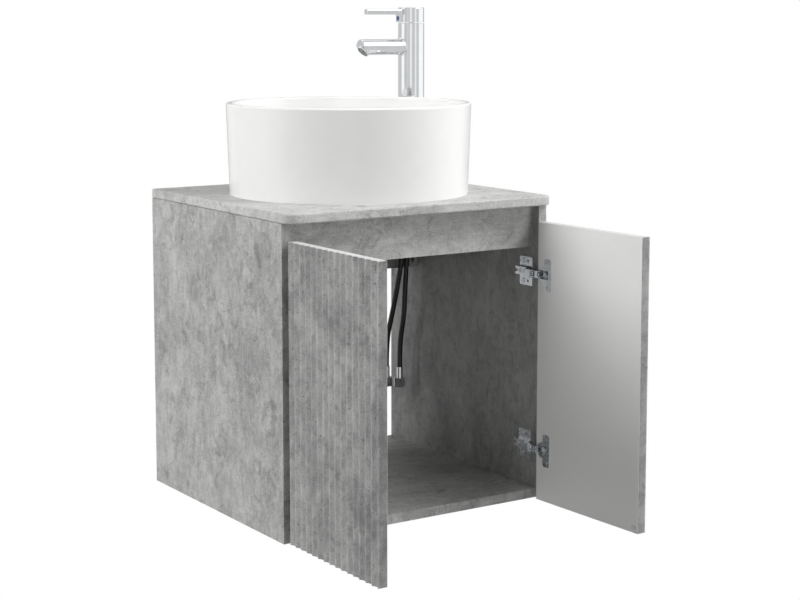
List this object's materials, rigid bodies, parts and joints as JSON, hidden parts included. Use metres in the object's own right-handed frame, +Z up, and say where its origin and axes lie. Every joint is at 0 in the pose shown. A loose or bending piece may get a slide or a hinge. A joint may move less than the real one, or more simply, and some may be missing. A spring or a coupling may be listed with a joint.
{
  "type": "wall-hung vanity unit",
  "caption": "Wall-hung bathroom vanity with fluted double doors on cup hinges, round vessel basin, tall single-lever tap, waste and flexible hoses.",
  "frame": {"origin": "middle of the four wall bolts, on the wall's surface, 115 mm below the worktop's underside", "axes": "+X to the right seen from the front, +Y towards the wall, +Z up; the doors face -Y"},
  "size_m": [0.4809, 0.6717, 0.781],
  "materials": {
    "carcass_board": "concrete-look melamine on particle board",
    "worktop_board": "concrete-look melamine, softly rounded edges",
    "door_board": "concrete-look fluted face, white inside",
    "cast_zinc": "die-cast zinc",
    "steel_fixings": "zinc-plated steel",
    "beech": "fluted beech dowel",
    "white_plastic": "moulded, matt",
    "zinc_plate": "galvanised sheet steel",
    "bumper_plastic": "soft clear plastic",
    "nickel_hinge": "nickel-plated pressed steel",
    "ceramic": "white glazed ceramic",
    "chrome": "polished chrome plate",
    "black_rubber": "black rubber; the hoses have a woven black sleeve",
    "brass_parts": "turned brass",
    "grey_plastic": "moulded grey plastic",
    "blue_mark": "blue inlay"
  },
  "bodies": {
    "cabinet": {"side_panel_left": "carcass_board", "side_panel_right": "carcass_board", "bottom_panel": "carcass_board", "front_rail": "carcass_board", "rear_rail": "carcass_board", "worktop": "worktop_board", "cam_locks": "cast_zinc", "cam_bolts": "steel_fixings", "corner_block_screws": "steel_fixings", "hanger_screws": "steel_fixings", "hinge_screws": "steel_fixings", "hinge_pins": "steel_fixings", "tap_stud": "steel_fixings", "tap_fixing_washer": "steel_fixings", "wood_dowels": "beech", "corner_blocks": "white_plastic", "hangers": "white_plastic", "tap_cartridge": "white_plastic", "hanger_hooks": "zinc_plate", "wall_plates": "zinc_plate", "upper_left_hinge_plate": "nickel_hinge", "upper_left_hinge_arm": "nickel_hinge", "upper_right_hinge_plate": "nickel_hinge", "upper_right_hinge_arm": "nickel_hinge", "lower_left_hinge_plate": "nickel_hinge", "lower_left_hinge_arm": "nickel_hinge", "lower_right_hinge_plate": "nickel_hinge", "lower_right_hinge_arm": "nickel_hinge", "basin": "ceramic", "waste_body": "chrome", "tap_body": "chrome", "hose_fittings": "chrome", "hose_union_nuts": "chrome", "waste_seal": "black_rubber", "tap_base_seal": "black_rubber", "hose_hot": "black_rubber", "hose_cold": "black_rubber", "waste_nut": "brass_parts", "tap_cartridge_nut": "brass_parts", "tap_fixing_nut": "brass_parts", "tap_aerator": "grey_plastic"},
    "left_door": {"door_left": "door_board", "door_bumper_left": "bumper_plastic", "upper_left_hinge_cup": "nickel_hinge", "lower_left_hinge_cup": "nickel_hinge", "left_cup_screws": "steel_fixings"},
    "right_door": {"door_right": "door_board", "door_bumper_right": "bumper_plastic", "upper_right_hinge_cup": "nickel_hinge", "lower_right_hinge_cup": "nickel_hinge", "right_cup_screws": "steel_fixings"},
    "left_outer_links": {"left_outer_links": "nickel_hinge"},
    "right_outer_links": {"right_outer_links": "nickel_hinge"},
    "left_inner_links": {"left_inner_links": "nickel_hinge"},
    "right_inner_links": {"right_inner_links": "nickel_hinge"},
    "tap_spindle": {"tap_spindle": "grey_plastic"},
    "tap_handle": {"tap_handle": "chrome", "tap_index_dot": "blue_mark"},
    "waste_plug": {"waste_plug": "chrome"}
  },
  "joints": [
    {"name": "left_door_hinge", "type": "hinge", "parent": "cabinet", "child": "left_door", "pos_m": [-0.2309, -0.442, 0], "axis": [0, 0, 1], "range_deg": [-5, 90]},
    {"name": "left_outer_link_pin", "type": "hinge", "parent": "cabinet", "child": "left_outer_links", "pos_m": [-0.21, -0.4245, 0], "axis": [0, 0, 1], "range_deg": [-35.4, 2.06]},
    {"name": "left_inner_link_pin", "type": "hinge", "parent": "cabinet", "child": "left_inner_links", "pos_m": [-0.211, -0.42, 0], "axis": [0, 0, 1], "range_deg": [-29.8, 1.75]},
    {"name": "right_door_hinge", "type": "hinge", "parent": "cabinet", "child": "right_door", "pos_m": [0.2309, -0.442, 0], "axis": [0, 0, -1], "range_deg": [-3, 92]},
    {"name": "right_outer_link_pin", "type": "hinge", "parent": "cabinet", "child": "right_outer_links", "pos_m": [0.21, -0.4245, 0], "axis": [0, 0, -1], "range_deg": [-36.18, 1.28]},
    {"name": "right_inner_link_pin", "type": "hinge", "parent": "cabinet", "child": "right_inner_links", "pos_m": [0.211, -0.42, 0], "axis": [0, 0, -1], "range_deg": [-30.46, 1.09]},
    {"name": "tap_swivel", "type": "hinge", "parent": "cabinet", "child": "tap_spindle", "pos_m": [0.196, -0.107, 0.395], "axis": [0, 0, 1], "range_deg": [-50, 50]},
    {"name": "tap_tilt", "type": "hinge", "parent": "tap_spindle", "child": "tap_handle", "pos_m": [0.2168, -0.107, 0.3992], "axis": [0, 1, 0], "range_deg": [0, 18]},
    {"name": "plug_lift", "type": "slide", "parent": "cabinet", "child": "waste_plug", "axis": [0, 0, 1], "range_m": [-0.008, 0]}
  ],
  "couplings": [
    {"joint": "left_outer_link_pin", "follows": "left_door_hinge", "ratio": -0.39222},
    {"joint": "left_inner_link_pin", "follows": "left_door_hinge", "ratio": -0.33},
    {"joint": "right_outer_link_pin", "follows": "right_door_hinge", "ratio": -0.39222},
    {"joint": "right_inner_link_pin", "follows": "right_door_hinge", "ratio": -0.33}
  ]
}
